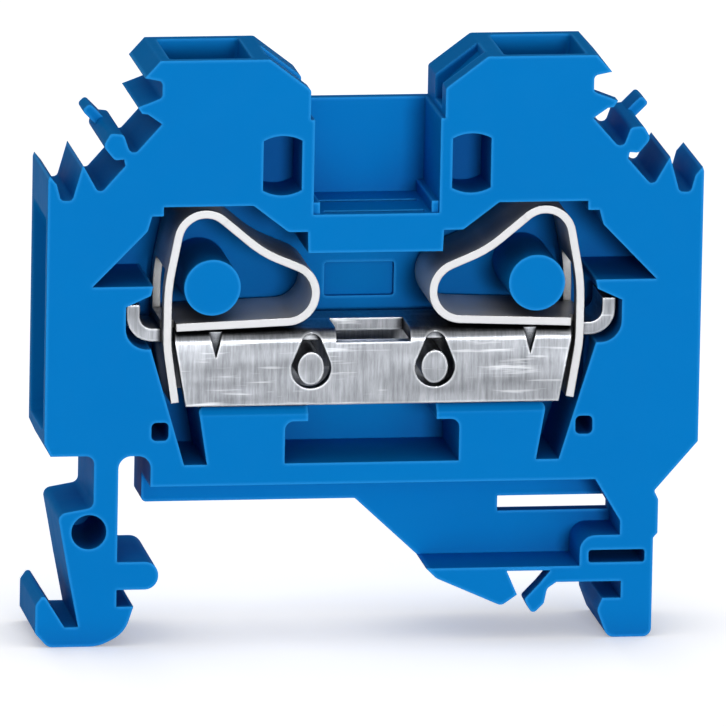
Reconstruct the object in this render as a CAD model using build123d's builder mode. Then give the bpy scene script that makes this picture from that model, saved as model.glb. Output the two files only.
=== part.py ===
from build123d import *
import os

# Two-conductor feed-through terminal block for a 35 mm mounting rail.
# Units are millimetres. X runs along the block, Y through its thickness from
# the open front to the closed back, Z up. The origin is on the rail's top
# face, at the middle of the rail and at the middle of the block's thickness.

# Housing envelope
block_length = 45.8
block_thickness = 8.0
height_over_rail = 37.4
foot_depth = 4.0
back_wall = 0.8

# Towers: flat top, inner slope towards the recess and a groove over that slope
tower_outer_inset = 7.68
tower_slope_drop = 2.2
tower_slope_run = 2.9
slope_groove_width = 3.1
slope_groove_setback = 1.6
slope_groove_depth = 0.6

# Centre recess between the two towers
recess_width = 8.8
recess_mouth_width = 9.4
recess_depth = 11.0
recess_back_drop = 4.3
floor_slot_width = 0.6
floor_slot_length = 7.0
floor_slot_setback = 0.6
floor_groove_setback = 4.0
floor_groove_depth = 0.6
corner_rib_width = 0.5
corner_rib_height = 0.8

# Screwdriver funnels in the towers
funnel_inner_wall = 1.2
funnel_outer_wall = 0.7
funnel_front_wall = 0.5
funnel_foot_width = 4.5
funnel_foot_depth = 5.4
funnel_foot_inset = 3.1

# Face windows beside the recess
window_offset = 1.9
window_centre_drop = 7.5
window_width = 2.7
window_height = 4.2
window_crown = 0.35
window_depth = 4.3

# Upper tooth of the right shoulder, which stops short of the back
short_tooth_depth = 1.2

# Raised marker post on each toothed shoulder, longer at the back
marker_post_depth = 2.5
marker_post_length = 1.9
marker_post_thickness = 0.75

# Body below the clamp chamber
side_foot_z = 10.3
body_underside_z = 7.3
panel_underside_z = 5.2
panel_setback = 4.4
cage_slot_foot_z = 8.8

# Rail and the two feet that grip it
rail_width = 35.0
rail_thickness = 1.0
rail_side_clearance = 0.2
rail_jaw_clearance = 0.2
foot_lip_height = 1.97
foot_lip_reach = 2.9
neck_width = 1.7
neck_slot_width = 2.25
claw_depth = 1.5
foot_hole_radius = 1.22
foot_hole_z = 4.15
foot_pocket_width = 3.95
foot_pocket_height = 0.9
foot_pocket_z = 1.8
slit_length = 7.8
slit_height = 1.07
slit_centre_z = 4.65
slit_pocket_margin = 0.6
slit_web = 1.0

# Core holes beside the cage slots
core_hole_width = 1.2
core_hole_height = 1.3
core_hole_z = 11.2

# Current bar, a folded channel with a curled tab at each end
bar_length = 27.7
bar_end_slant = 0.8
bar_top_z = 18.2
bar_height = 5.3
bar_width = 6.7
bar_sheet = 0.9
bar_fold_radius = 0.9
bar_front_setback = 0.15
bar_seat_clearance = 0.12
tab_width = 4.1
tab_overhang = 1.45
tab_curl_radius = 0.9
tab_upright = 0.8
tab_clearance = 0.25
jumper_notch_width = 5.2
jumper_notch_depth = 3.6
stop_centre_x = 4.33
stop_drop = 2.75
stop_half_width = 0.92
stop_half_height = 1.16
stop_gap = 0.48
drop_rise = 1.72
drop_top_radius = 0.75
dent_x = 11.0
dent_width = 1.0
dent_height = 1.9
dent_depth = 0.45

# Clamp springs, folded from strip
strip_thickness = 0.55
spring_width = 6.6
spring_front_setback = 0.1
spring_seat_gap = 0.05
cage_gap = 0.3
cage_window_width = 4.5
cage_window_height = 5.3
cage_leg_foot = 3.95
cage_leg_lean = 0.61
cage_bend_rise = 3.2
cage_bend_radius = 14.0
leg_bend_radius = 10.0
bow_top_rise = 9.95
bow_top_inset = 1.3
bow_top_radius = 1.91
bow_knee_rise = 5.52
bow_knee_inset = 6.59
bow_knee_radius = 8.0
bow_end_rise = 0.97
bow_end_inset = 17.39
bow_end_radius = 2.0
tail_gap = 0.35
tongue_length = 0.95

# Clamp chamber and its guide posts
post_radius = 1.97
post_inset = 3.08
post_rise = 3.15
chamber_rise = 8.9
chamber_web_rise = 5.5
chamber_ledge_rise = 3.3
chamber_wing_reach = 5.3
back_panel_width = 4.9
back_panel_height = 2.4
back_panel_rise = 2.0
back_panel_depth = 0.4
pedestal_inner_x = 4.5
pedestal_chamfer = 0.5

# Conductor entries
entry_radius = 2.05
entry_relief = 0.2
entry_length = 2.1
entry_z = 14.7
entry_y = -0.8
entry_mouth_width = 6.5
entry_mouth_foot_z = 11.2
entry_mouth_top_z = 26.4
entry_funnel_depth = 5.2
entry_corner_radius = 0.6

# Values that follow from the sizes above
half_length = block_length / 2
front_y = -block_thickness / 2
floor_y = block_thickness / 2 - back_wall
pocket_depth = block_thickness - back_wall
tower_inner_x = recess_mouth_width / 2 + tower_slope_run
tower_outer_x = half_length - tower_outer_inset
tower_inner_z = height_over_rail - tower_slope_drop
recess_floor_z = height_over_rail - recess_depth
recess_back_z = height_over_rail - recess_back_drop
jaw_x = rail_width / 2 + rail_side_clearance
jaw_foot_z = -rail_thickness - rail_jaw_clearance
slit_centre_x = jaw_x - 0.3 - slit_length / 2
bar_foot_z = bar_top_z - bar_height
plate_foot_z = bar_top_z - bar_sheet
pedestal_z = bar_foot_z - bar_seat_clearance
bar_front_y = front_y + bar_front_setback
bar_back_y = bar_front_y + bar_width
tab_reach = bar_length / 2 + tab_overhang
tab_curl = tab_curl_radius + bar_sheet / 2
tab_end_x = tab_reach + tab_curl + bar_sheet / 2
cage_x = bar_length / 2 + cage_gap + strip_thickness / 2
cage_window_foot_z = plate_foot_z - 3 * spring_seat_gap
spring_front_y = front_y + spring_front_setback
spring_mid_y = spring_front_y + spring_width / 2
tail_z = bar_top_z + strip_thickness / 2 + spring_seat_gap
tail_x = cage_x - strip_thickness / 2 - tail_gap
post_x = cage_x - post_inset
post_z = bar_top_z + post_rise
chamber_top_z = bar_top_z + chamber_rise
chamber_web_z = bar_top_z + chamber_web_rise
chamber_ledge_z = bar_top_z + chamber_ledge_rise
entry_inner_x = half_length - entry_funnel_depth

FRONT = Plane.XZ.offset(-front_y)
FLOOR = Plane.XZ.offset(-floor_y)
BACK = Plane.XZ.offset(front_y)


def outline(plane, rows):
    """Close rows of x, z and corner radius into a face on a plane."""
    points = [(x, z) for x, z, r in rows]
    corners = [r for x, z, r in rows]
    with BuildSketch(plane) as face:
        with BuildLine():
            FilletPolyline(*points, radius=corners, close=True)
        make_face()
    return face.sketch


def both_halves(rows):
    """Give the rows and, in reverse order, the same rows mirrored in X."""
    return rows + [(-x, z, r) for x, z, r in reversed(rows)]


def tower_flank():
    """Rows from the recess mouth up the tower's slope and down the teeth."""
    mouth_x = recess_mouth_width / 2
    slope = [
        (mouth_x, recess_back_z, 0.0),
        (mouth_x, tower_inner_z, 0.3),
        (tower_inner_x, height_over_rail, 0.4),
    ]
    teeth = [
        (tower_outer_inset, 0.0, 0.0),
        (6.6, 1.2, 0.0),
        (7.85, 1.45, 0.35),
        (7.85, 2.6, 0.35),
        (6.15, 3.25, 0.0),
        (6.45, 3.7, 0.0),
        (6.85, 3.75, 0.0),
        (7.85, 4.45, 0.0),
        (5.78, 6.78, 0.4),
        (5.2, 5.15, 0.35),
        (4.3, 5.05, 0.4),
        (3.78, 5.95, 0.5),
        (4.6, 6.95, 0.4),
        (5.25, 6.9, 0.0),
        (5.35, 7.35, 0.0),
        (3.58, 9.35, 0.35),
        (2.4, 7.25, 0.0),
        (1.7, 9.76, 0.35),
        (0.9, 9.76, 0.35),
        (0.6, 8.6, 0.0),
        (0.1, 8.0, 0.0),
        (0.0, 8.3, 0.0),
    ]
    return slope + [(half_length - inset, height_over_rail - drop, r) for inset, drop, r in teeth]


def short_tooth():
    """Rows of the upper tooth's missing stretch behind the right shoulder."""
    root_x = half_length - 7.8
    tip_x = half_length - 5.9
    return [
        (root_x, height_over_rail - 2.4, 0.0),
        (tip_x, height_over_rail - 2.4, 0.0),
        (tip_x, height_over_rail - 4.42, 0.0),
        (root_x, height_over_rail - 4.42, 0.0),
    ]


def fixed_foot():
    """Rows of the right foot and the lower edge, from right to left."""
    outer_x = jaw_x + 2.2
    return [
        (half_length, side_foot_z - 0.4, 0.0),
        (outer_x, body_underside_z - 0.9, 0.2),
        (outer_x + 0.3, body_underside_z - 1.5, 0.3),
        (outer_x + 0.3, 3.4, 0.0),
        (outer_x, 3.05, 0.0),
        (outer_x, -foot_depth, 0.6),
        (jaw_x - 0.9, -foot_depth, 0.7),
        (jaw_x - 1.65, jaw_foot_z - 0.85, 0.6),
        (jaw_x - 1.3, jaw_foot_z, 0.0),
        (jaw_x, jaw_foot_z, 0.0),
        (jaw_x, 0.0, 0.0),
        (jaw_x - 4.5, 0.0, 0.0),
        (jaw_x - 4.8, 0.85, 0.0),
        (jaw_x - 8.05, 0.85, 0.0),
        (jaw_x - 7.3, -0.85, 0.0),
        (jaw_x - 8.4, -1.62, 0.5),
        (jaw_x - 13.0, 0.42, 0.8),
        (jaw_x - 13.7, 1.1, 0.0),
        (jaw_x - 18.15, panel_underside_z, 0.2),
    ]


def sprung_foot():
    """Rows of the left foot on its thin neck, from right to left."""
    neck_x = -jaw_x
    slot_x = neck_x + neck_slot_width
    slot_top = side_foot_z - 0.8
    arm_x = neck_x - neck_width
    return [
        (slot_x, panel_underside_z, 0.35),
        (slot_x, slot_top, 0.9),
        (neck_x, slot_top, 0.9),
        (neck_x, foot_lip_height, 0.0),
        (neck_x + foot_lip_reach, foot_lip_height, 0.95),
        (neck_x + foot_lip_reach, 0.0, 0.95),
        (neck_x, 0.0, 0.0),
        (neck_x, jaw_foot_z, 0.0),
        (neck_x + 1.2, jaw_foot_z, 0.0),
        (neck_x + 0.6, -foot_depth + 0.9, 2.2),
        (neck_x - 1.2, -foot_depth, 2.8),
        (neck_x - 4.75, -foot_depth, 0.8),
        (neck_x - 5.65, -foot_depth + 1.0, 0.3),
        (neck_x - 5.65, -1.0, 0.4),
        (neck_x - 5.1, -0.2, 0.25),
        (neck_x - 3.6, -2.6, 0.0),
        (neck_x - 2.65, -2.6, 0.0),
        (arm_x - 1.65, 0.9, 0.5),
        (arm_x - 2.5, 5.45, 0.55),
        (arm_x, 5.9, 0.5),
        (arm_x, side_foot_z - 0.75, 0.6),
        (-half_length + 0.45, side_foot_z - 0.75, 0.0),
        (-half_length, side_foot_z + 0.2, 0.0),
    ]


def panel_step():
    """Rows of the area under the body that is set back from the front."""
    left_x = -jaw_x + neck_slot_width - 1.0
    return [
        (left_x, body_underside_z, 0.0),
        (jaw_x - 1.96, body_underside_z, 0.0),
        (jaw_x - 0.15, 4.3, 0.2),
        (jaw_x - 0.15, 3.3, 0.0),
        (jaw_x - 2.95, 3.3, 1.1),
        (jaw_x - 2.95, 1.13, 0.0),
        (jaw_x - 14.7, 1.13, 0.0),
        (jaw_x - 19.2, panel_underside_z - 0.6, 0.0),
        (left_x, panel_underside_z - 0.6, 0.0),
    ]


def rail_claw():
    """Rows of the thin front claw that follows the rail's inner bend."""
    return [
        (jaw_x - 4.0, 0.95, 0.0),
        (jaw_x - 4.9, 0.95, 0.0),
        (jaw_x - 5.75, -0.1, 0.3),
        (jaw_x - 6.8, -1.2, 0.25),
        (jaw_x - 6.2, -2.3, 0.3),
        (jaw_x - 5.4, -1.5, 0.3),
        (jaw_x - 5.2, -0.45, 0.5),
        (jaw_x - 4.4, 0.1, 0.2),
        (jaw_x - 4.0, 0.15, 0.0),
    ]


def marker_post():
    """Rows of the thin finger at the back that carries on the marker post."""
    root_x = half_length - 4.7
    root_z = height_over_rail - 5.75
    reach = marker_post_length * 0.73
    side = marker_post_thickness * 0.35
    return [
        (root_x - side - 0.3, root_z + side - 0.3, 0.0),
        (root_x - side + reach, root_z + side + reach, 0.25),
        (root_x + side + reach, root_z - side + reach, 0.25),
        (root_x + side, root_z - side, 0.0),
    ]


def chamber_half():
    """Rows of the clamp chamber's right half, from top middle to bottom."""
    web_x = recess_mouth_width / 2
    return [
        (web_x, chamber_web_z, 0.0),
        (web_x + 0.05, chamber_web_z + 1.5, 0.0),
        (web_x + 1.4, chamber_web_z + 1.5, 0.4),
        (cage_x - 5.85, chamber_top_z, 0.3),
        (cage_x + 0.4, chamber_top_z, 0.0),
        (cage_x + 0.4, chamber_top_z - 0.65, 0.0),
        (cage_x + 1.2, chamber_top_z - 0.65, 0.0),
        (cage_x + 1.5, chamber_top_z - 1.7, 0.3),
        (cage_x + chamber_wing_reach, chamber_ledge_z, 0.0),
        (cage_x + 1.05, chamber_ledge_z, 0.0),
        (cage_x + 1.2, chamber_ledge_z - 0.65, 0.0),
        (tab_end_x + tab_clearance, chamber_ledge_z - 1.45, 0.0),
        (tab_end_x + tab_clearance, plate_foot_z - tab_clearance, 1.5),
        (cage_x + 1.15, plate_foot_z - tab_clearance, 0.0),
        (cage_x - 1.3, cage_slot_foot_z, 0.0),
        (cage_x - 2.9, cage_slot_foot_z, 0.0),
        (cage_x - 2.25, pedestal_z, 0.35),
        (pedestal_inner_x, pedestal_z, 0.0),
        (pedestal_inner_x, pedestal_z - 1.0, 0.0),
        (pedestal_inner_x + 1.6, pedestal_z - 1.0, 0.6),
        (pedestal_inner_x + 1.6, cage_slot_foot_z, 0.0),
    ]


def moulded_body():
    """Extrude the whole outline, the rail claw and the marker posts."""
    flank = tower_flank()
    mirrored_flank = [(-x, z, r) for x, z, r in reversed(flank)]
    body_rows = flank + fixed_foot() + sprung_foot() + mirrored_flank
    post_rows = marker_post()
    mirrored_post = [(-x, z, r) for x, z, r in reversed(post_rows)]

    with BuildPart() as body:
        extrude(outline(FRONT, body_rows), amount=-block_thickness)
        extrude(outline(FRONT, rail_claw()), amount=-claw_depth)
        extrude(outline(BACK, post_rows), amount=marker_post_depth)
        extrude(outline(BACK, mirrored_post), amount=marker_post_depth)
        extrude(outline(FRONT, panel_step()), amount=-panel_setback, mode=Mode.SUBTRACT)
        tooth_space = outline(BACK, short_tooth())
        extrude(tooth_space, amount=block_thickness - short_tooth_depth, mode=Mode.SUBTRACT)
    return body.part


def bridge_recess():
    """Hollow out the centre recess, its floor slot and groove."""
    half_width = recess_width / 2
    with BuildPart() as recess:
        with BuildSketch(FRONT):
            with Locations((0, (recess_floor_z + recess_back_z) / 2)):
                Rectangle(recess_width, recess_back_z - recess_floor_z)
        extrude(amount=-pocket_depth)

        # Low ribs stay along the floor's corners
        rib_x = half_width - corner_rib_width / 2
        with BuildSketch(FRONT.offset(-0.3)):
            with Locations((-rib_x, recess_floor_z), (rib_x, recess_floor_z)):
                Rectangle(corner_rib_width, corner_rib_height * 2)
        extrude(amount=-pocket_depth, mode=Mode.SUBTRACT)

        # Slot right through the floor, over the bar's notch
        with BuildSketch(Plane.XY.offset(recess_floor_z)):
            with Locations((0, front_y + floor_slot_setback + floor_slot_width / 2)):
                Rectangle(floor_slot_length, floor_slot_width)
        extrude(amount=chamber_web_z - recess_floor_z)

        # Shallow groove across the middle of the floor
        with BuildSketch(Plane.XY.offset(recess_floor_z)):
            with Locations((0, front_y + floor_groove_setback + floor_slot_width / 2)):
                Rectangle(floor_slot_length, floor_slot_width)
        extrude(amount=-floor_groove_depth)
    return recess.part


def slope_grooves():
    """Hollow out the groove over each tower's inner slope."""
    mouth_x = recess_mouth_width / 2
    over_z = height_over_rail + 1.0
    start = FRONT.offset(-slope_groove_setback)
    with BuildPart() as grooves:
        for side in (-1, 1):
            with BuildSketch(start):
                with BuildLine():
                    Polyline(
                        (side * (mouth_x - 0.5), recess_back_z + 0.4),
                        (side * (mouth_x + 0.5), recess_back_z + 0.4),
                        (side * (mouth_x + 0.5), tower_inner_z - slope_groove_depth),
                        (side * tower_inner_x, height_over_rail - slope_groove_depth),
                        (side * tower_inner_x, over_z),
                        (side * (mouth_x - 0.5), over_z),
                        close=True,
                    )
                make_face()
            extrude(amount=-slope_groove_width)
    return grooves.part


def face_windows():
    """Hollow out the two crowned windows beside the recess."""
    foot_z = height_over_rail - window_centre_drop - window_height / 2
    head_z = foot_z + window_height
    with BuildPart() as windows:
        for side in (-1, 1):
            middle_x = side * (recess_mouth_width / 2 + window_offset)
            left_x = middle_x - window_width / 2
            right_x = middle_x + window_width / 2
            with BuildSketch(FRONT):
                with BuildLine():
                    Line((left_x, foot_z + window_crown), (left_x, head_z - window_crown))
                    ThreePointArc(
                        (left_x, head_z - window_crown),
                        (middle_x, head_z),
                        (right_x, head_z - window_crown),
                    )
                    Line((right_x, head_z - window_crown), (right_x, foot_z + window_crown))
                    ThreePointArc(
                        (right_x, foot_z + window_crown),
                        (middle_x, foot_z),
                        (left_x, foot_z + window_crown),
                    )
                make_face()
            extrude(amount=-window_depth)
    return windows.part


def driver_funnels():
    """Loft the screwdriver funnels from the towers' tops to the chamber."""
    top_width = tower_outer_x - tower_inner_x - funnel_inner_wall - funnel_outer_wall
    top_x = tower_inner_x + funnel_inner_wall + top_width / 2
    top_depth = block_thickness - funnel_front_wall - back_wall
    top_y = front_y + funnel_front_wall + top_depth / 2
    with BuildPart() as funnels:
        for side in (-1, 1):
            with BuildSketch(Plane.XY.offset(height_over_rail)):
                with Locations((side * top_x, top_y)):
                    RectangleRounded(top_width, top_depth, 0.3)
            with BuildSketch(Plane.XY.offset(chamber_top_z - 0.1)):
                with Locations((side * (cage_x - funnel_foot_inset), spring_mid_y)):
                    RectangleRounded(funnel_foot_width, funnel_foot_depth, 0.3)
            loft()
    return funnels.part


def conductor_entries():
    """Loft a tall funnel into each side, then drill the round entry."""
    mouth_z = (entry_mouth_foot_z + entry_mouth_top_z) / 2
    mouth_height = entry_mouth_top_z - entry_mouth_foot_z
    mouth_y = floor_y - entry_mouth_width / 2
    relief_x = entry_inner_x - entry_length
    with BuildPart() as entries:
        for side in (-1, 1):
            with BuildSketch(Plane.YZ.offset(side * half_length)):
                with Locations((mouth_y, mouth_z)):
                    RectangleRounded(entry_mouth_width, mouth_height, entry_corner_radius)
            with BuildSketch(Plane.YZ.offset(side * entry_inner_x)):
                with Locations((entry_y, entry_z)):
                    RectangleRounded(entry_radius * 2, entry_radius * 2, entry_corner_radius)
            loft()
            with BuildSketch(Plane.YZ.offset(side * entry_inner_x)):
                with Locations((entry_y, entry_z)):
                    Circle(entry_radius)
            extrude(amount=-side * entry_length)

            # Slightly wider behind the cage, where the leg travels
            with BuildSketch(Plane.YZ.offset(side * relief_x)):
                with Locations((entry_y, entry_z)):
                    Circle(entry_radius + entry_relief)
            extrude(amount=-side * (relief_x - cage_x + strip_thickness))
    return entries.part


def clamp_chamber():
    """Hollow out the chamber, with its guide posts left standing."""
    with BuildPart() as chamber:
        extrude(outline(FRONT, both_halves(chamber_half())), amount=-pocket_depth)
        with BuildSketch(FLOOR):
            with Locations((0, bar_top_z + back_panel_rise)):
                RectangleRounded(back_panel_width, back_panel_height, 0.2)
        extrude(amount=-back_panel_depth)

        # Chamfered front edge of each pedestal under the bar
        for side in (-1, 1):
            with BuildSketch(Plane.YZ.offset(side * (pedestal_inner_x - 0.1))):
                with BuildLine():
                    Polyline(
                        (front_y, pedestal_z - pedestal_chamfer),
                        (front_y + pedestal_chamfer, pedestal_z),
                        (front_y, pedestal_z),
                        close=True,
                    )
                make_face()
            extrude(amount=side * (cage_x - pedestal_inner_x - 1.8))

        with BuildSketch(FLOOR):
            with Locations((-post_x, post_z), (post_x, post_z)):
                Circle(post_radius)
        extrude(amount=pocket_depth, mode=Mode.SUBTRACT)
    return chamber.part


def core_pockets():
    """Hollow out the core holes of the body and the feet, and the slit."""
    core_x = cage_x + 0.42
    with BuildPart() as cores:
        with BuildSketch(FRONT):
            with Locations((-core_x, core_hole_z), (core_x, core_hole_z)):
                RectangleRounded(core_hole_width, core_hole_height, 0.35)
            with Locations((-jaw_x - 2.0, foot_hole_z)):
                Circle(foot_hole_radius)
            with Locations((jaw_x - 0.35, foot_pocket_z)):
                RectangleRounded(foot_pocket_width, foot_pocket_height, 0.2)
        extrude(amount=-pocket_depth)

        # Slit that lets the fixed foot give, cored out wider from behind
        with BuildSketch(BACK):
            with Locations((slit_centre_x, slit_centre_z)):
                Rectangle(slit_length, slit_height)
        extrude(amount=block_thickness - panel_setback)
        with BuildSketch(BACK):
            with Locations((slit_centre_x, slit_centre_z)):
                Rectangle(slit_length + 2 * slit_pocket_margin, slit_height + 2 * slit_pocket_margin)
        extrude(amount=block_thickness - panel_setback - slit_web)
    return cores.part


def bar_section():
    """Sketch the channel's section, open below, at the bar's left end."""
    inner_front_y = bar_front_y + bar_sheet
    inner_back_y = bar_back_y - bar_sheet
    with BuildSketch(Plane.YZ.offset(-bar_length / 2)) as section:
        with BuildLine():
            FilletPolyline(
                (bar_front_y, bar_foot_z),
                (bar_front_y, bar_top_z),
                (bar_back_y, bar_top_z),
                (bar_back_y, bar_foot_z),
                radius=bar_fold_radius,
            )
            Polyline(
                (bar_back_y, bar_foot_z),
                (inner_back_y, bar_foot_z),
                (inner_back_y, plate_foot_z),
                (inner_front_y, plate_foot_z),
                (inner_front_y, bar_foot_z),
                (bar_front_y, bar_foot_z),
            )
        make_face()
    return section.sketch


def teardrop():
    """Sketch the drop-shaped hole around a conductor stop."""
    with BuildSketch() as drop:
        Circle(stop_half_width + stop_gap)
        with Locations((0, drop_rise)):
            Circle(drop_top_radius)
        make_hull()
    return drop.sketch


housing_body = moulded_body()
recess_space = bridge_recess()
groove_space = slope_grooves()
window_space = face_windows()
funnel_space = driver_funnels()
entry_space = conductor_entries()
chamber_space = clamp_chamber()
core_space = core_pockets()

# Housing: the moulded body less its chamber, recess, funnels and pockets
with BuildPart() as housing:
    add(housing_body)
    add(recess_space, mode=Mode.SUBTRACT)
    add(groove_space, mode=Mode.SUBTRACT)
    add(window_space, mode=Mode.SUBTRACT)
    add(chamber_space, mode=Mode.SUBTRACT)
    add(funnel_space, mode=Mode.SUBTRACT)
    add(entry_space, mode=Mode.SUBTRACT)
    add(core_space, mode=Mode.SUBTRACT)

# Current bar: channel, curled tabs, notch, drop-shaped holes and stops
drop_hole = teardrop()
stop_z = bar_top_z - stop_drop
with BuildPart() as current_bar:
    extrude(bar_section(), amount=bar_length)

    # Both ends slant inwards towards the flanges' lower edges
    half_bar = bar_length / 2
    with BuildSketch(Plane.XZ.offset(-bar_back_y)):
        for side in (-1, 1):
            with BuildLine():
                Polyline(
                    (side * half_bar, plate_foot_z),
                    (side * (half_bar - bar_end_slant), bar_foot_z),
                    (side * half_bar, bar_foot_z),
                    close=True,
                )
            make_face()
    extrude(amount=bar_width, mode=Mode.SUBTRACT)

    # Tabs that pass through the cage windows and curl up
    mid_sheet_z = bar_top_z - bar_sheet / 2
    for side in (-1, 1):
        with BuildSketch(Plane.XZ.offset(-(spring_mid_y - tab_width / 2))):
            with BuildLine() as tab_line:
                FilletPolyline(
                    (side * (half_bar - bar_sheet), mid_sheet_z),
                    (side * (tab_reach + tab_curl), mid_sheet_z),
                    (side * (tab_reach + tab_curl), mid_sheet_z + tab_curl + tab_upright),
                    radius=tab_curl,
                )
            trace(tab_line.line, line_width=bar_sheet)
        extrude(amount=-tab_width)

    # Notch for a cross connector, through the plate and the front fold
    with BuildSketch(Plane.XY.offset(bar_top_z)):
        with Locations((0, bar_front_y + jumper_notch_depth / 2)):
            Rectangle(jumper_notch_width, jumper_notch_depth)
    extrude(amount=-bar_sheet, mode=Mode.SUBTRACT)

    # Drop-shaped holes in the front flange
    with BuildSketch(Plane.XZ.offset(-bar_front_y)):
        with Locations((-stop_centre_x, stop_z), (stop_centre_x, stop_z)):
            add(drop_hole)
    extrude(amount=-bar_sheet, mode=Mode.SUBTRACT)

    # Conductor stops, drawn from the rear flange towards the front
    with BuildSketch(Plane.XZ.offset(-(bar_back_y - bar_sheet))):
        with Locations((-stop_centre_x, stop_z), (stop_centre_x, stop_z)):
            Ellipse(stop_half_width, stop_half_height)
    extrude(amount=bar_width - bar_sheet - 0.1)

    # Small pointed dents pressed into the front flange
    with BuildSketch(Plane.XZ.offset(-bar_front_y)):
        for side in (-1, 1):
            with BuildLine():
                Polyline(
                    (side * dent_x - dent_width / 2, bar_top_z),
                    (side * dent_x, bar_top_z - dent_height),
                    (side * dent_x + dent_width / 2, bar_top_z),
                    close=True,
                )
            make_face()
    extrude(amount=-dent_depth, mode=Mode.SUBTRACT)

# Left clamp spring: cage leg, bow, tail and the tongue through its own window
bow_radii = [bow_top_radius, bow_knee_radius, bow_end_radius]
bend_radii = [leg_bend_radius, cage_bend_radius] + bow_radii
with BuildPart() as left_spring:
    with BuildSketch(Plane.XZ.offset(-spring_front_y)):
        with BuildLine() as strip_line:
            FilletPolyline(
                (-cage_x + cage_leg_lean, cage_window_foot_z - cage_leg_foot),
                (-cage_x, cage_window_foot_z),
                (-cage_x, bar_top_z + cage_bend_rise),
                (-cage_x + bow_top_inset, bar_top_z + bow_top_rise),
                (-cage_x + bow_knee_inset, bar_top_z + bow_knee_rise),
                (-cage_x + bow_end_inset, bar_top_z + bow_end_rise),
                (-tail_x, tail_z),
                radius=bend_radii,
            )
        trace(strip_line.line, line_width=strip_thickness)
    extrude(amount=-spring_width)

    # Cage window through the leg
    with BuildSketch(Plane.YZ.offset(-cage_x)):
        with Locations((spring_mid_y, cage_window_foot_z + cage_window_height / 2)):
            RectangleRounded(cage_window_width, cage_window_height, 0.3)
    extrude(amount=strip_thickness / 2 + 0.25, both=True, mode=Mode.SUBTRACT)

    # Tongue of the tail, which passes through the window
    with BuildSketch(Plane.XZ.offset(-(spring_mid_y - tab_width / 2))):
        with Locations((-tail_x + 0.2 - (tongue_length + 0.2) / 2, tail_z)):
            Rectangle(tongue_length + 0.2, strip_thickness)
    extrude(amount=-tab_width)

# Right clamp spring: the same strip, mirrored
with BuildPart() as right_spring:
    mirror(left_spring.part, about=Plane.YZ)

os.makedirs("parts", exist_ok=True)

housing.part.label = "housing"
current_bar.part.label = "current_bar"
left_spring.part.label = "left_clamp_spring"
right_spring.part.label = "right_clamp_spring"

for piece in (housing, current_bar, left_spring, right_spring):
    export_step(piece.part, f"parts/{piece.part.label}.step")
    print(piece.part.label, round(piece.part.volume, 2), len(piece.part.solids()))
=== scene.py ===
"""Looks of a feed-through terminal block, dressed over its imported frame.

Lengths are in metres, in the frame's own axes: X runs along the block, Y from
the open front to the closed back, and Z from the feet up. A name that ends in
_mm holds millimetres.
"""

import logging
import math
from dataclasses import dataclass
from enum import Enum

import bmesh
import bpy
from mathutils import Euler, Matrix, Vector


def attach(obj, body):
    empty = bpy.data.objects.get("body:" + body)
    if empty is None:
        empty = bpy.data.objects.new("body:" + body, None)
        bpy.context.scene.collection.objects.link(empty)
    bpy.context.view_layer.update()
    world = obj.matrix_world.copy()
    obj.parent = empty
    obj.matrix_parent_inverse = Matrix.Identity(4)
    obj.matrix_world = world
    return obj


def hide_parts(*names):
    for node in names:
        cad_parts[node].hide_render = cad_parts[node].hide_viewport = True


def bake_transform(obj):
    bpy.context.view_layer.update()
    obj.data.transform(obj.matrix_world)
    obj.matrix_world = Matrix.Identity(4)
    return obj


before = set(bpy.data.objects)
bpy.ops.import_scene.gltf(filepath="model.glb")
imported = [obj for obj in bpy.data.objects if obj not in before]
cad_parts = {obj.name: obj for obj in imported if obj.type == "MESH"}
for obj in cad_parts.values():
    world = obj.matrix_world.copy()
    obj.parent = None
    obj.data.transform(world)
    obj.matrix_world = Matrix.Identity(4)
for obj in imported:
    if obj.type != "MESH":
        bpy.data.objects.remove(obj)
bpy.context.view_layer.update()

MM = 0.001
# Sampling rays of a shader node that looks round a point
NEARBY_RAYS = 6
# Input and output numbers of a Mix node that blends colours
MIX_SHARE, MIX_FIRST, MIX_SECOND, MIX_RESULT = 0, 6, 7, 2
# Most of a pattern's values lie between these two
PATTERN_LOW, PATTERN_HIGH = 0.3, 0.7
WHITE = "#FFFFFF"
LOG = logging.getLogger("terminal_block")

Triple = tuple[float, float, float]


class Node(Enum):
    """Names of the frame's nodes."""

    HOUSING = "housing"
    BAR = "current_bar"
    LEFT_SPRING = "left_clamp_spring"
    RIGHT_SPRING = "right_clamp_spring"


class Body(Enum):
    """Names of the frame's moving bodies."""

    BLOCK = "block"
    LEFT_CLAMP = "left_clamp"
    RIGHT_CLAMP = "right_clamp"


class Side(Enum):
    """Sides of the block, as the sign of X."""

    LEFT = -1
    RIGHT = 1


@dataclass(frozen=True)
class Ramp:
    """How a share grows from 0 while a measured value changes."""

    # Value up to which the share is 0
    start: float
    # Value from which the share is largest
    full: float
    # The largest share
    most: float


def linear_colour(hex_colour: str) -> tuple[float, float, float, float]:
    """Turn an sRGB hex colour into the linear colour that a socket takes.

    Args:
        hex_colour: Six hex digits after a hash sign.

    Returns:
        Red, green, blue and alpha.
    """
    digits = hex_colour.lstrip("#")
    channels = []
    for start in (0, 2, 4):
        value = int(digits[start : start + 2], 16) / 255
        # The sRGB curve has a straight foot, and is a power above it
        if value <= 0.04045:
            channels.append(value / 12.92)
        else:
            channels.append(((value + 0.055) / 1.055) ** 2.4)
    return (channels[0], channels[1], channels[2], 1.0)


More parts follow.
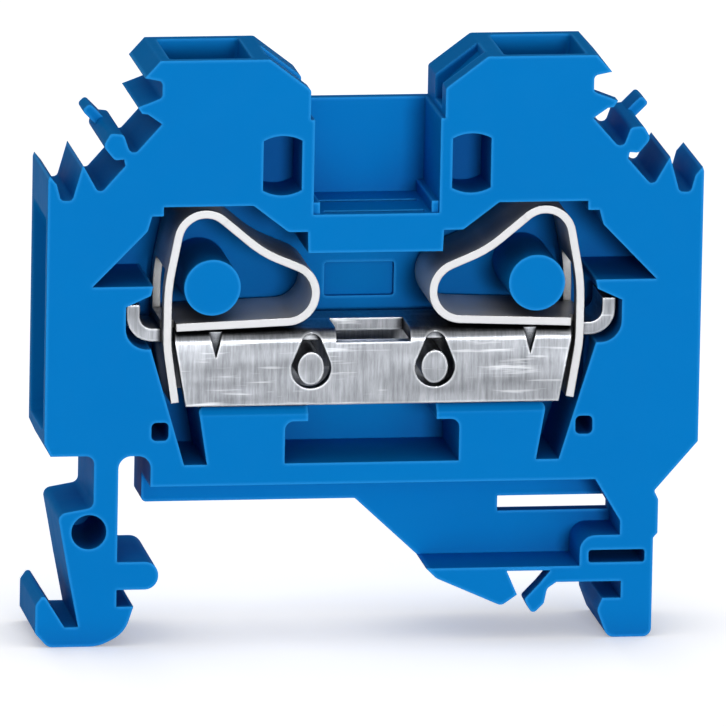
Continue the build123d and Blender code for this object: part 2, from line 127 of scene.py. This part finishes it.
class NodeGraph:
    """A node tree with one way to add nodes to it."""

    def __init__(self, tree: bpy.types.NodeTree, output_kind: str) -> None:
        """Empty a node tree and give it its output node.

        Args:
            tree: The tree to fill.
            output_kind: Type name of the output node.
        """
        self.tree = tree
        self.tree.nodes.clear()
        self.output = self.add(output_kind)

    def add(
        self,
        kind: str,
        inputs: dict[str | int, object] | None = None,
        **settings: object,
    ) -> bpy.types.Node:
        """Add a node with its settings and links.

        Args:
            kind: The node's type name.
            inputs: Inputs by name or number, each with a constant or with the
                socket that feeds it.
            **settings: Properties of the node itself.

        Returns:
            The new node.
        """
        node = self.tree.nodes.new(kind)
        for key, setting in settings.items():
            setattr(node, key, setting)
        for key, value in (inputs or {}).items():
            if isinstance(value, bpy.types.NodeSocket):
                self.tree.links.new(value, node.inputs[key])
            else:
                node.inputs[key].default_value = value
        return node

    def show(self, shader: bpy.types.Node) -> None:
        """Make a shader the tree's surface.

        Args:
            shader: The last shader node.
        """
        self.tree.links.new(shader.outputs[0], self.output.inputs["Surface"])


class ShaderGraph(NodeGraph):
    """A material's node tree, with patterns that keep their real size."""

    def __init__(self, name: str) -> None:
        """Start an empty node material.

        Args:
            name: The material's name.
        """
        self.material = bpy.data.materials.new(name)
        self.material.use_nodes = True
        super().__init__(self.material.node_tree, "ShaderNodeOutputMaterial")

    def pattern(
        self, size_mm: Triple, detail: float, roughness: float = 0.5
    ) -> bpy.types.NodeSocket:
        """Lay irregular patches of a real size over the piece.

        Args:
            size_mm: Size of one patch along X, Y and Z.
            detail: Number of finer layers of patches.
            roughness: Share that each finer layer keeps.

        Returns:
            The pattern, from 0 to 1.
        """
        place = self.add("ShaderNodeTexCoord")
        scaled = self.add(
            "ShaderNodeMapping",
            {
                "Vector": place.outputs["Object"],
                "Scale": tuple(1 / (size * MM) for size in size_mm),
            },
        )
        patches = self.add(
            "ShaderNodeTexNoise",
            {
                "Vector": scaled.outputs["Vector"],
                "Scale": 1.0,
                "Detail": detail,
                "Roughness": roughness,
            },
        )
        return patches.outputs["Fac"]

    def varied(
        self,
        size_mm: Triple,
        low: float,
        high: float,
        detail: float,
        roughness: float = 0.5,
    ) -> bpy.types.NodeSocket:
        """Let one of a shader's numbers vary from patch to patch.

        Args:
            size_mm: Size of one patch along X, Y and Z.
            low: Number in the low patches.
            high: Number in the high patches.
            detail: Number of finer layers of patches.
            roughness: Share that each finer layer keeps.

        Returns:
            The varied number.
        """
        varied = self.add(
            "ShaderNodeMapRange",
            {
                "Value": self.pattern(size_mm, detail, roughness),
                "From Min": PATTERN_LOW,
                "From Max": PATTERN_HIGH,
                "To Min": low,
                "To Max": high,
            },
        )
        return varied.outputs["Result"]

    def tinted(
        self,
        colour: bpy.types.NodeSocket | str,
        goal: str,
        measure: bpy.types.NodeSocket,
        ramp: Ramp,
    ) -> bpy.types.NodeSocket:
        """Pull a colour towards another where a measured value says so.

        Args:
            colour: The colour to start from, as a socket or in hex.
            goal: Hex colour to pull towards.
            measure: The value that decides how far.
            ramp: How the goal's share follows the value.

        Returns:
            The new colour.
        """
        share = self.add(
            "ShaderNodeMapRange",
            {
                "Value": measure,
                "From Min": ramp.start,
                "From Max": ramp.full,
                "To Min": 0.0,
                "To Max": ramp.most,
            },
        )
        first = linear_colour(colour) if isinstance(colour, str) else colour
        blend = self.add(
            "ShaderNodeMix",
            {
                MIX_SHARE: share.outputs["Result"],
                MIX_FIRST: first,
                MIX_SECOND: linear_colour(goal),
            },
            data_type="RGBA",
        )
        return blend.outputs[MIX_RESULT]


@dataclass(frozen=True)
class MouldedPolyamide:
    """Injection-moulded polyamide, dyed blue through and through."""

    # The steel mould leaves a satin skin that shines a little more in some
    # patches than in others. The dye gives one even blue. A paler blue along
    # thin edges is a painted highlight, and navy in deep pockets is painted
    # shade.
    name: str = "moulded_blue_polyamide"
    colour: str = "#007AC6"
    deeper_colour: str = "#0076C2"
    # Paler blue of the painted highlight along convex edges
    edge_colour: str = "#2C9CEB"
    # Navy of the painted shade in deep pockets
    painted_recess_shade_colour: str = "#0C4690"
    smooth_roughness: float = 0.45
    dull_roughness: float = 0.55
    specular_level: float = 0.02
    # Melt that flows round an opening leaves faint clouds of about its size
    flow_mm: Triple = (8.33, 8.33, 5.0)
    flow: Ramp = Ramp(start=0.0, full=1.0, most=1.0)
    # The skin's gloss changes over about the thickness of a wall
    patch_mm: Triple = (2.0, 2.0, 2.0)
    # The mould's grain is about 0.03 mm. It is drawn at 0.16 mm, so that it
    # still shows at the size of the picture.
    grain_mm: Triple = (0.16, 0.16, 0.16)
    grain_depth_mm: float = 0.004
    grain_strength: float = 0.5
    edge_radius_mm: float = 0.14
    # A painted highlight in a paler blue covers this band along convex edges
    painted_highlight_band_mm: float = 0.26
    edge: Ramp = Ramp(start=0.95, full=0.55, most=0.75)
    # Painted shade: navy where faces stand within this reach of other faces
    painted_shade_reach_mm: float = 4.5
    painted_recess_shade: Ramp = Ramp(start=0.7, full=0.2, most=0.75)

    def build(self) -> bpy.types.Material:
        """Make the material.

        Returns:
            The polyamide material.
        """
        graph = ShaderGraph(self.name)
        flow = graph.pattern(self.flow_mm, detail=3.0)
        colour = graph.tinted(self.colour, self.deeper_colour, flow, self.flow)
        # Painted shade: the blue goes navy in deep pockets
        painted_shade_ao = graph.add(
            "ShaderNodeAmbientOcclusion",
            {"Distance": self.painted_shade_reach_mm * MM},
            samples=NEARBY_RAYS,
        )
        colour = graph.tinted(
            colour, self.painted_recess_shade_colour, painted_shade_ao.outputs["AO"], self.painted_recess_shade
        )
        # Painted highlight: a paler blue along convex edges
        painted_highlight_ao = graph.add(
            "ShaderNodeAmbientOcclusion",
            {"Distance": self.painted_highlight_band_mm * MM},
            samples=NEARBY_RAYS,
            inside=True,
        )
        colour = graph.tinted(
            colour, self.edge_colour, painted_highlight_ao.outputs["AO"], self.edge
        )
        rounded = graph.add(
            "ShaderNodeBevel",
            {"Radius": self.edge_radius_mm * MM},
            samples=NEARBY_RAYS,
        )
        grained = graph.add(
            "ShaderNodeBump",
            {
                "Strength": self.grain_strength,
                "Distance": self.grain_depth_mm * MM,
                "Height": graph.pattern(self.grain_mm, detail=2.0),
                "Normal": rounded.outputs["Normal"],
            },
        )
        shader = graph.add(
            "ShaderNodeBsdfPrincipled",
            {
                "Base Color": colour,
                "Metallic": 0.0,
                "Roughness": graph.varied(
                    self.patch_mm,
                    self.smooth_roughness,
                    self.dull_roughness,
                    detail=3.0,
                ),
                "Specular IOR Level": self.specular_level,
                "Normal": grained.outputs["Normal"],
            },
        )
        graph.show(shader)
        return graph.material


@dataclass(frozen=True)
class TinnedCopper:
    """Bright tin plating over copper sheet that was drawn, cut and folded."""

    # Drawing the sheet leaves upright grain under the plating. Pale level
    # streaks and a paler band along cut edges are painted highlights on the
    # tin. Folding leaves shallow creases, and pressed marks and tight corners
    # are darkened with painted shade.
    name: str = "bright_tinned_copper"
    bright_colour: str = "#94979C"
    dull_colour: str = "#6C6F74"
    # Colour of the painted highlights, in streaks and along cut edges
    painted_highlight_colour: str = "#C3C6CA"
    # Colour of the painted shade in dents and tight corners
    painted_dent_shade_colour: str = "#26282C"
    smooth_roughness: float = 0.3
    dull_roughness: float = 0.4
    # Drawing lines are about 0.03 mm wide. They are drawn at 0.14 to 0.2 mm,
    # so that they still show at the size of the picture.
    streak_mm: Triple = (0.2, 0.667, 2.5)
    streaks: Ramp = Ramp(start=PATTERN_LOW, full=PATTERN_HIGH, most=1.0)
    grain_mm: Triple = (0.14286, 0.3333, 2.0)
    grain_depth_mm: float = 0.01
    # A painted highlight streak is about half a millimetre wide and runs along
    # the bar
    painted_streak_mm: Triple = (6.25, 2.0, 0.4545)
    painted_highlight_streaks: Ramp = Ramp(start=0.58, full=0.72, most=0.8)
    # Tin sets in spangles of about a millimetre
    patch_mm: Triple = (0.8333, 0.8333, 1.25)
    # A crease runs along a fold for a third of the bar
    crease_mm: Triple = (10.0, 2.5, 2.222)
    crease_depth_mm: float = 0.08
    edge_radius_mm: float = 0.12
    # A painted highlight covers this band along cut edges
    painted_highlight_band_mm: float = 0.2
    edge: Ramp = Ramp(start=0.95, full=0.55, most=0.9)
    # Painted shade darkens what lies this close to another face
    painted_dent_shade_reach_mm: float = 0.5
    painted_dent_shade: Ramp = Ramp(start=0.95, full=0.65, most=1.0)

    def coloured(self, graph: ShaderGraph) -> bpy.types.NodeSocket:
        """Colour the plating: its grain, painted highlights in streaks and
        along edges, and painted shade in dents.

        Args:
            graph: The material's node tree.

        Returns:
            The colour.
        """
        streaks = graph.pattern(self.streak_mm, detail=4.0, roughness=0.7)
        colour = graph.tinted(
            self.bright_colour, self.dull_colour, streaks, self.streaks
        )
        # Painted highlights: pale level streaks along the bar
        painted_highlight_streaks = graph.pattern(self.painted_streak_mm, detail=3.0, roughness=0.6)
        colour = graph.tinted(colour, self.painted_highlight_colour, painted_highlight_streaks, self.painted_highlight_streaks)
        # Painted highlight: a paler band along cut edges
        painted_highlight_ao = graph.add(
            "ShaderNodeAmbientOcclusion",
            {"Distance": self.painted_highlight_band_mm * MM},
            samples=NEARBY_RAYS,
            inside=True,
        )
        colour = graph.tinted(
            colour, self.painted_highlight_colour, painted_highlight_ao.outputs["AO"], self.edge
        )
        # Painted shade: dark in dents and tight corners
        painted_shade_ao = graph.add(
            "ShaderNodeAmbientOcclusion",
            {"Distance": self.painted_dent_shade_reach_mm * MM},
            samples=NEARBY_RAYS,
        )
        return graph.tinted(
            colour, self.painted_dent_shade_colour, painted_shade_ao.outputs["AO"], self.painted_dent_shade
        )

    def build(self) -> bpy.types.Material:
        """Make the material.

        Returns:
            The tin plating material.
        """
        graph = ShaderGraph(self.name)
        creases = graph.pattern(self.crease_mm, detail=1.0, roughness=0.4)
        grain = graph.pattern(self.grain_mm, detail=4.0, roughness=0.7)
        rounded = graph.add(
            "ShaderNodeBevel",
            {"Radius": self.edge_radius_mm * MM},
            samples=NEARBY_RAYS,
        )
        creased = graph.add(
            "ShaderNodeBump",
            {
                "Strength": 1.0,
                "Distance": self.crease_depth_mm * MM,
                "Height": creases,
                "Normal": rounded.outputs["Normal"],
            },
        )
        grained = graph.add(
            "ShaderNodeBump",
            {
                "Strength": 1.0,
                "Distance": self.grain_depth_mm * MM,
                "Height": grain,
                "Normal": creased.outputs["Normal"],
            },
        )
        shader = graph.add(
            "ShaderNodeBsdfPrincipled",
            {
                "Base Color": self.coloured(graph),
                "Metallic": 1.0,
                "Roughness": graph.varied(
                    self.patch_mm,
                    self.smooth_roughness,
                    self.dull_roughness,
                    detail=4.0,
                    roughness=0.6,
                ),
                "Normal": grained.outputs["Normal"],
            },
        )
        graph.show(shader)
        return graph.material


@dataclass(frozen=True)
class RolledSpringSteel:
    """Stainless spring strip, rolled to thickness and sheared to width."""

    # Rolling leaves the broad faces dull grey, with fine lines along the
    # strip, and shearing leaves the cut edges bright. Where the broad faces
    # stand close together, inside the bow and the cage, they are darkened
    # with painted shade.
    name: str = "rolled_spring_steel"
    face_colour: str = "#CDC9C2"
    edge_colour: str = "#A6A7A9"
    # Colour of the painted shade inside the bow and the cage
    painted_recess_shade_colour: str = "#23211F"
    face_metallic: float = 0.25
    edge_metallic: float = 1.0
    smooth_roughness: float = 0.34
    dull_roughness: float = 0.46
    # The strip is bent about Y only, so what faces Y more than this is cut
    cut_facing: float = 0.8
    cut: Ramp = Ramp(start=0.0, full=1.0, most=1.0)
    # Rolling lines are about 0.01 mm wide. They are drawn at 0.07 mm, so that
    # they still show at the size of the picture.
    line_mm: Triple = (3.333, 0.07143, 3.333)
    line_depth_mm: float = 0.004
    edge_radius_mm: float = 0.05
    # Painted shade darkens faces that lie this close to others
    painted_shade_reach_mm: float = 3.0
    painted_recess_shade: Ramp = Ramp(start=0.7, full=0.3, most=0.9)

    def is_cut(self, graph: ShaderGraph) -> bpy.types.NodeSocket:
        """Tell the strip's cut edges from its rolled faces.

        Args:
            graph: The material's node tree.

        Returns:
            1 on a cut edge, and 0 on a rolled face.
        """
        geometry = graph.add("ShaderNodeNewGeometry")
        facing = graph.add(
            "ShaderNodeSeparateXYZ", {"Vector": geometry.outputs["Normal"]}
        )
        across = graph.add(
            "ShaderNodeMath", {0: facing.outputs["Y"]}, operation="ABSOLUTE"
        )
        cut = graph.add(
            "ShaderNodeMath",
            {0: across.outputs[0], 1: self.cut_facing},
            operation="GREATER_THAN",
        )
        return cut.outputs[0]

    def build(self) -> bpy.types.Material:
        """Make the material.

        Returns:
            The spring steel material.
        """
        graph = ShaderGraph(self.name)
        cut = self.is_cut(graph)
        colour = graph.tinted(self.face_colour, self.edge_colour, cut, self.cut)
        # Painted shade: dark inside the bow and the cage
        painted_shade_ao = graph.add(
            "ShaderNodeAmbientOcclusion",
            {"Distance": self.painted_shade_reach_mm * MM},
            samples=NEARBY_RAYS,
        )
        colour = graph.tinted(
            colour, self.painted_recess_shade_colour, painted_shade_ao.outputs["AO"], self.painted_recess_shade
        )
        lines = graph.pattern(self.line_mm, detail=3.0, roughness=0.6)
        rounded = graph.add(
            "ShaderNodeBevel",
            {"Radius": self.edge_radius_mm * MM},
            samples=NEARBY_RAYS,
        )
        lined = graph.add(
            "ShaderNodeBump",
            {
                "Strength": 1.0,
                "Distance": self.line_depth_mm * MM,
                "Height": lines,
                "Normal": rounded.outputs["Normal"],
            },
        )
        metallic = graph.add(
            "ShaderNodeMapRange",
            {
                "Value": cut,
                "To Min": self.face_metallic,
                "To Max": self.edge_metallic,
            },
        )
        roughness = graph.add(
            "ShaderNodeMapRange",
            {
                "Value": lines,
                "From Min": PATTERN_LOW,
                "From Max": PATTERN_HIGH,
                "To Min": self.smooth_roughness,
                "To Max": self.dull_roughness,
            },
        )
        shader = graph.add(
            "ShaderNodeBsdfPrincipled",
            {
                "Base Color": colour,
                "Metallic": metallic.outputs["Result"],
                "Roughness": roughness.outputs["Result"],
                "Normal": lined.outputs["Normal"],
            },
        )
        graph.show(shader)
        return graph.material


@dataclass(frozen=True)
class StudioPaper:
    """Uncoated studio paper, pressed from white fibre."""

    # With no coating it is matt all over and goes evenly to white. A soft
    # shadow is painted where something stands close over it.
    name: str = "studio_paper"
    colour: str = "#FAFAFB"
    smooth_roughness: float = 0.75
    dull_roughness: float = 0.85
    # Fibres are about 0.02 mm wide. What shows is the cloudy way they lie.
    cloud_mm: Triple = (2.5, 2.5, 2.5)
    # Light that the camera alone sees, so that the paper stays white without
    # more light on the block
    lift: float = 0.62
    # A painted shadow: close under the block the camera-only light drops
    shadow_lift: float = 0.3
    shadow_reach_mm: float = 12.0
    shadow_full: float = 0.5
    shadow_end: float = 0.98

    def build(self) -> bpy.types.Material:
        """Make the material.

        Returns:
            The paper material.
        """
        graph = ShaderGraph(self.name)
        paper = graph.add(
            "ShaderNodeBsdfPrincipled",
            {
                "Base Color": linear_colour(self.colour),
                "Roughness": graph.varied(
                    self.cloud_mm,
                    self.smooth_roughness,
                    self.dull_roughness,
                    detail=3.0,
                ),
                "Specular IOR Level": 0.0,
            },
        )
        path = graph.add("ShaderNodeLightPath")
        # Painted shadow: the camera-only light drops where the floor is shut in
        above = graph.add(
            "ShaderNodeAmbientOcclusion",
            {"Distance": self.shadow_reach_mm * MM},
            samples=NEARBY_RAYS,
        )
        lift = graph.add(
            "ShaderNodeMapRange",
            {
                "Value": above.outputs["AO"],
                "From Min": self.shadow_full,
                "From Max": self.shadow_end,
                "To Min": self.shadow_lift,
                "To Max": self.lift,
            },
        )
        seen_lift = graph.add(
            "ShaderNodeMath",
            {0: path.outputs["Is Camera Ray"], 1: lift.outputs["Result"]},
            operation="MULTIPLY",
        )
        glow = graph.add(
            "ShaderNodeEmission",
            {
                "Color": linear_colour(self.colour),
                "Strength": seen_lift.outputs[0],
            },
        )
        both = graph.add(
            "ShaderNodeAddShader", {0: paper.outputs[0], 1: glow.outputs[0]}
        )
        graph.show(both)
        return graph.material


@dataclass
class MeshPiece:
    """A visible piece, made from a merged copy of a frame node's mesh."""

    name: str
    node: Node
    material: bpy.types.Material
    slot: str
    # Points of the loose triangles that are closer than this are one point
    merge_gap: float = 0.001 * MM
    # Triangles that are turned less than this lie in one face
    flat_angle: float = math.radians(0.5)
    # An edge that turns more than this is a sharp one
    smooth_angle: float = math.radians(32)

    def merged_copy(self) -> bmesh.types.BMesh:
        """Copy the node's mesh with its loose triangles merged.

        Returns:
            The merged mesh, for the caller to free.
        """
        mesh = bmesh.new()
        mesh.from_mesh(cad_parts[self.node.value].data)
        bmesh.ops.remove_doubles(mesh, verts=mesh.verts, dist=self.merge_gap)
        bmesh.ops.dissolve_limit(
            mesh,
            angle_limit=self.flat_angle,
            verts=mesh.verts,
            edges=mesh.edges,
            delimit={"NORMAL"},
        )
        return mesh

    def finish(self, mesh: bmesh.types.BMesh) -> bpy.types.Object:
        """Turn a mesh into a smooth shaded piece that shows its material.

        Args:
            mesh: The mesh to use; it is freed.

        Returns:
            The piece.
        """
        for face in mesh.faces:
            face.smooth = True
        for edge in mesh.edges:
            edge.smooth = edge.calc_face_angle(math.pi) < self.smooth_angle
        data = bpy.data.meshes.new(self.name)
        mesh.to_mesh(data)
        mesh.free()
        data.materials.append(self.material)
        piece = bpy.data.objects.new(self.name, data)
        bpy.context.scene.collection.objects.link(piece)
        return piece


@dataclass
class Housing:
    """The moulded blue housing."""

    material: bpy.types.Material
    name: str = "housing_moulding"
    slot: str = "blue_polyamide"

    def build(self) -> list[bpy.types.Object]:
        """Make the housing's visible mesh.

        Returns:
            The housing piece.
        """
        piece = MeshPiece(self.name, Node.HOUSING, self.material, self.slot)
        shell = piece.finish(piece.merged_copy())
        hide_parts(Node.HOUSING.value)
        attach(shell, Body.BLOCK.value)
        return [shell]


@dataclass
class CurrentBar:
    """The folded current bar."""

    material: bpy.types.Material
    name: str = "current_bar_plated"
    slot: str = "tinned_copper"

    def build(self) -> list[bpy.types.Object]:
        """Make the bar's visible mesh.

        Returns:
            The bar piece.
        """
        piece = MeshPiece(self.name, Node.BAR, self.material, self.slot)
        bar = piece.finish(piece.merged_copy())
        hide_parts(Node.BAR.value)
        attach(bar, Body.BLOCK.value)
        return [bar]


@dataclass
class ClampSpring:
    """A clamp spring in two stretches: the cage, and the bow with its tail."""

    side: Side
    material: bpy.types.Material
    slot: str = "spring_steel"
    # The cut crosses the strip's diagonal over the guide post. Its place and
    # direction are those of the right spring.
    cut_x: float = 10.45 * MM
    cut_z: float = 25.92 * MM
    cut_normal_x: float = 0.766
    cut_normal_z: float = 0.643
    # How far from its middle the cut's own edges and the faces to cut may lie
    cut_reach: float = 1.2 * MM
    cut_zone: float = 3.0 * MM
    # How far a point may lie from the cut and still be on it
    cut_slack: float = 1e-7
    # Heights between which the bow would go from still to fully turned
    still_z: float = 18.9 * MM
    turned_z: float = 25.6 * MM

    @property
    def node(self) -> Node:
        """The frame node that this spring stands for."""
        return Node.LEFT_SPRING if self.side is Side.LEFT else Node.RIGHT_SPRING

    @property
    def body(self) -> Body:
        """The moving body of this spring."""
        return Body.LEFT_CLAMP if self.side is Side.LEFT else Body.RIGHT_CLAMP

    def part_strip(self, mesh: bmesh.types.BMesh) -> None:
        """Cut the strip across its diagonal and part it there.

        Only the faces near the diagonal are cut, because the cut's plane
        meets other stretches of the strip as well.

        Args:
            mesh: The whole strip.
        """
        sign = self.side.value
        cut = Vector((sign * self.cut_x, 0.0, self.cut_z))
        normal = Vector((sign * self.cut_normal_x, 0.0, self.cut_normal_z))
        near = [
            face
            for face in mesh.faces
            if (face.calc_center_median() - cut).xz.length < self.cut_zone
        ]
        geometry = set(near)
        for face in near:
            geometry.update(face.edges)
            geometry.update(face.verts)
        bmesh.ops.bisect_plane(
            mesh,
            geom=list(geometry),
            plane_co=cut,
            plane_no=normal,
            dist=self.cut_slack,
        )
        seam = [
            edge
            for edge in mesh.edges
            if all(
                abs((vert.co - cut).dot(normal)) < self.cut_slack
                and (vert.co - cut).xz.length < self.cut_reach
                for vert in edge.verts
            )
        ]
        bmesh.ops.split_edges(mesh, edges=seam)

    def cage_points(self, mesh: bmesh.types.BMesh) -> set[bmesh.types.BMVert]:
        """Find the points of the cage in the parted strip.

        Args:
            mesh: The parted strip.

        Returns:
            All points that hang together with the highest one.
        """
        highest = max(mesh.verts, key=lambda vert: vert.co.z)
        cage = {highest}
        front = [highest]
        while front:
            vert = front.pop()
            for edge in vert.link_edges:
                other = edge.other_vert(vert)
                if other not in cage:
                    cage.add(other)
                    front.append(other)
        return cage

    def stretch(self, name: str, keep_cage: bool) -> bpy.types.Object:
        """Make one stretch of the strip, closed at the cut.

        Args:
            name: The stretch's name.
            keep_cage: Keep the cage and the top bend, or else the bow.

        Returns:
            The stretch.
        """
        piece = MeshPiece(name, self.node, self.material, self.slot)
        mesh = piece.merged_copy()
        bmesh.ops.triangulate(mesh, faces=mesh.faces)
        self.part_strip(mesh)
        cage = self.cage_points(mesh)
        unwanted = [vert for vert in mesh.verts if (vert in cage) != keep_cage]
        bmesh.ops.delete(mesh, geom=unwanted, context="VERTS")
        open_edges = [edge for edge in mesh.edges if edge.is_boundary]
        bmesh.ops.holes_fill(mesh, edges=open_edges)
        return piece.finish(mesh)

    def build(self) -> list[bpy.types.Object]:
        """Make both stretches of the spring.

        Returns:
            The cage piece and the bow piece.
        """
        cage = self.stretch(f"{self.node.value}_cage", keep_cage=True)
        bow = self.stretch(f"{self.node.value}_bow", keep_cage=False)
        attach(cage, self.body.value)
        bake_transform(bow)
        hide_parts(self.node.value)
        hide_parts(self.node.value)
        return [cage, bow]


@dataclass(frozen=True)
class SoftLamp:
    """A wide sun lamp that stands low over the floor."""

    name: str
    strength: float
    # Angle between the lamp's light and straight down
    tilt_deg: float
    # Turn about Z, where 0 is light that comes from in front of the block
    heading_deg: float
    mirrored: bool = True
    spread_deg: float = 14.0

    def build(self) -> bpy.types.Object:
        """Hang the lamp.

        Returns:
            The lamp.
        """
        data = bpy.data.lights.new(self.name, "SUN")
        data.energy = self.strength
        data.angle = math.radians(self.spread_deg)
        lamp = bpy.data.objects.new(self.name, data)
        lamp.rotation_euler = Euler(
            (math.radians(self.tilt_deg), 0.0, math.radians(self.heading_deg))
        )
        lamp.visible_glossy = self.mirrored
        bpy.context.scene.collection.objects.link(lamp)
        return lamp


@dataclass
class Studio:
    """Floor, surroundings and lamps."""

    paper: bpy.types.Material
    # Just under the feet, so that the floor and the feet don't share a face
    floor_z: float = -4.02 * MM
    floor_size: float = 4.0
    backdrop_colour: str = "#FBFBFC"
    # Light that the surroundings throw from the sides and from above, and the
    # direction's Z at which each is reached
    side_light: float = 0.32
    top_light: float = 0.5
    side_reached: float = 0.0
    top_reached: float = 0.8
    # What gloss mirrors in front and behind, and the direction's Y at which
    # each is reached
    front_mirrored: float = 0.7
    back_mirrored: float = 0.05
    front_reached: float = -0.2
    back_reached: float = 0.6
    lamps: tuple[SoftLamp, ...] = (
        SoftLamp("key_lamp", strength=2.08, tilt_deg=86.0, heading_deg=6.0),
        SoftLamp(
            "back_lamp",
            strength=1.1,
            tilt_deg=84.0,
            heading_deg=186.0,
            mirrored=False,
        ),
    )

    def build_floor(self) -> bpy.types.Object:
        """Lay the floor under the feet.

        Returns:
            The floor.
        """
        mesh = bmesh.new()
        bmesh.ops.create_grid(
            mesh, x_segments=1, y_segments=1, size=self.floor_size
        )
        data = bpy.data.meshes.new("studio_floor")
        mesh.to_mesh(data)
        mesh.free()
        data.materials.append(self.paper)
        floor = bpy.data.objects.new("studio_floor", data)
        floor.location = (0.0, 0.0, self.floor_z)
        bpy.context.scene.collection.objects.link(floor)
        return floor

    def build_world(self) -> None:
        """Light the block from all round and show white behind it."""
        world = bpy.data.worlds.new("studio_world")
        bpy.context.scene.world = world
        world.use_nodes = True
        graph = NodeGraph(world.node_tree, "ShaderNodeOutputWorld")
        place = graph.add("ShaderNodeTexCoord")
        direction = graph.add(
            "ShaderNodeSeparateXYZ", {"Vector": place.outputs["Generated"]}
        )
        mirrored = graph.add(
            "ShaderNodeMapRange",
            {
                "Value": direction.outputs["Y"],
                "From Min": self.front_reached,
                "From Max": self.back_reached,
                "To Min": self.front_mirrored,
                "To Max": self.back_mirrored,
            },
        )
        room = graph.add(
            "ShaderNodeMapRange",
            {
                "Value": direction.outputs["Z"],
                "From Min": self.side_reached,
                "From Max": self.top_reached,
                "To Min": self.side_light,
                "To Max": self.top_light,
            },
        )
        path = graph.add("ShaderNodeLightPath")
        shown = graph.add(
            "ShaderNodeBackground",
            {"Color": linear_colour(self.backdrop_colour), "Strength": 1.0},
        )
        gloss = graph.add(
            "ShaderNodeBackground",
            {
                "Color": linear_colour(WHITE),
                "Strength": mirrored.outputs["Result"],
            },
        )
        lit = graph.add(
            "ShaderNodeBackground",
            {"Color": linear_colour(WHITE), "Strength": room.outputs["Result"]},
        )
        unseen = graph.add(
            "ShaderNodeMixShader",
            {
                0: path.outputs["Is Glossy Ray"],
                1: lit.outputs[0],
                2: gloss.outputs[0],
            },
        )
        whole = graph.add(
            "ShaderNodeMixShader",
            {
                0: path.outputs["Is Camera Ray"],
                1: unseen.outputs[0],
                2: shown.outputs[0],
            },
        )
        graph.show(whole)

    def build(self) -> None:
        """Make the whole studio."""
        self.build_floor()
        self.build_world()
        for lamp in self.lamps:
            lamp.build()


@dataclass
class ProductCamera:
    """The camera, at the photograph's viewing angle."""

    azimuth: float = math.radians(-9.0)
    elevation: float = math.radians(13.0)
    roll: float = math.radians(1.1)
    lens_mm: float = 900.0
    sensor_mm: float = 36.0
    frame_width: float = 50.2 * MM
    aim: Triple = (-0.74 * MM, -4.0 * MM, 15.85 * MM)
    clip_start: float = 0.01
    clip_end: float = 20.0

    def build(self) -> bpy.types.Object:
        """Place the camera.

        Returns:
            The camera.
        """
        data = bpy.data.cameras.new("product_camera")
        data.lens = self.lens_mm
        data.sensor_width = self.sensor_mm
        data.clip_start = self.clip_start
        data.clip_end = self.clip_end
        camera = bpy.data.objects.new("product_camera", data)
        distance = self.frame_width * self.lens_mm / self.sensor_mm
        back = Vector(
            (
                math.sin(self.azimuth) * math.cos(self.elevation),
                -math.cos(self.azimuth) * math.cos(self.elevation),
                math.sin(self.elevation),
            )
        )
        camera.location = Vector(self.aim) + back * distance
        turn = (-back).to_track_quat("-Z", "Y").to_matrix()
        roll = Euler((0.0, 0.0, self.roll)).to_matrix()
        camera.rotation_euler = (turn @ roll).to_euler()
        bpy.context.scene.collection.objects.link(camera)
        bpy.context.scene.camera = camera
        return camera


def main() -> None:
    """Dress the frame, light it and place the camera."""
    logging.basicConfig(level=logging.INFO)
    bpy.context.scene.view_settings.view_transform = "Standard"
    polyamide = MouldedPolyamide().build()
    tin = TinnedCopper().build()
    steel = RolledSpringSteel().build()
    for node, material in (
        (Node.HOUSING, polyamide),
        (Node.BAR, tin),
        (Node.LEFT_SPRING, steel),
        (Node.RIGHT_SPRING, steel),
    ):
        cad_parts[node.value].data.materials.clear()
        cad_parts[node.value].data.materials.append(material)
    for part in (
        Housing(polyamide),
        CurrentBar(tin),
        ClampSpring(Side.LEFT, steel),
        ClampSpring(Side.RIGHT, steel),
    ):
        for piece in part.build():
            LOG.info("%s: %d faces", piece.name, len(piece.data.polygons))
    Studio(StudioPaper().build()).build()
    ProductCamera().build()


if __name__ == "__main__":
    main()
